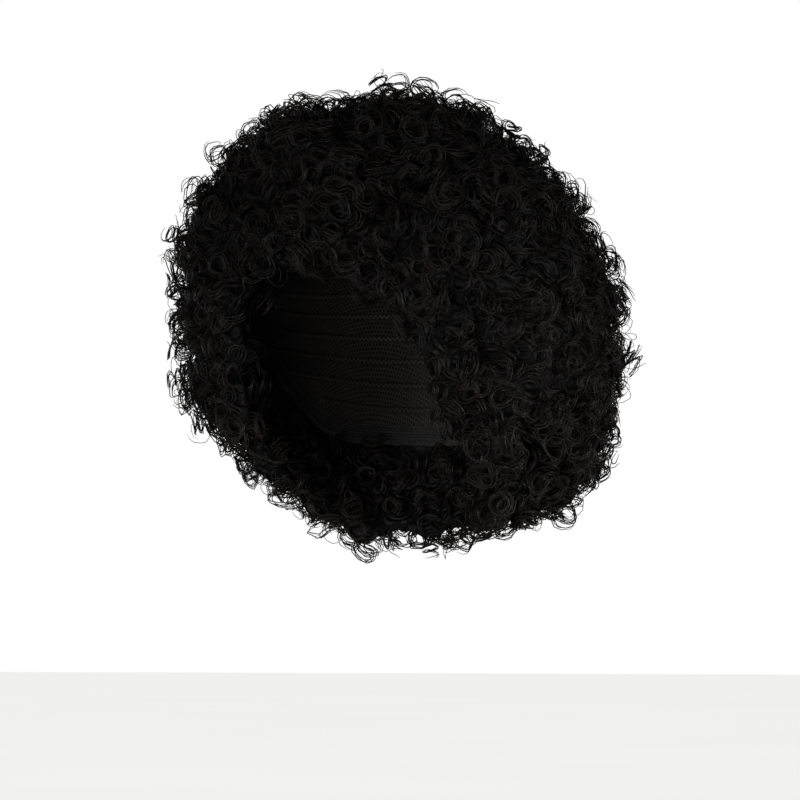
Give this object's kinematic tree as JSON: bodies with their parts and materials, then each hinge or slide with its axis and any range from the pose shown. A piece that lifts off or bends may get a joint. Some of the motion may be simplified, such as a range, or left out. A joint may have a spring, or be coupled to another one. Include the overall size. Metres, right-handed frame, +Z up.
{
  "type": "afro wig",
  "caption": "Rounded afro wig of deep tight curls on a stretch-net cap with an elastic band inside its rim, open at the face and the neck.",
  "frame": {"origin": "inside of the cap at the crown, where the wig sits on the head", "axes": "+Z up, -Y the way the wearer faces, +X towards the left side of the head"},
  "size_m": [0.2852, 0.2892, 0.2812],
  "materials": {
    "cap_net": "open stretch net with the sewn rows of the hair",
    "elastic": "woven ribbed elastic, matt",
    "curly_hair": "synthetic fibre set in tight curls, soft sheen"
  },
  "bodies": {
    "root": {"cap": "cap_net", "cap_band": "elastic", "hair_crown": "curly_hair", "hair_fringe": "curly_hair", "hair_left": "curly_hair", "hair_back": "curly_hair", "hair_right": "curly_hair"}
  },
  "joints": []
}
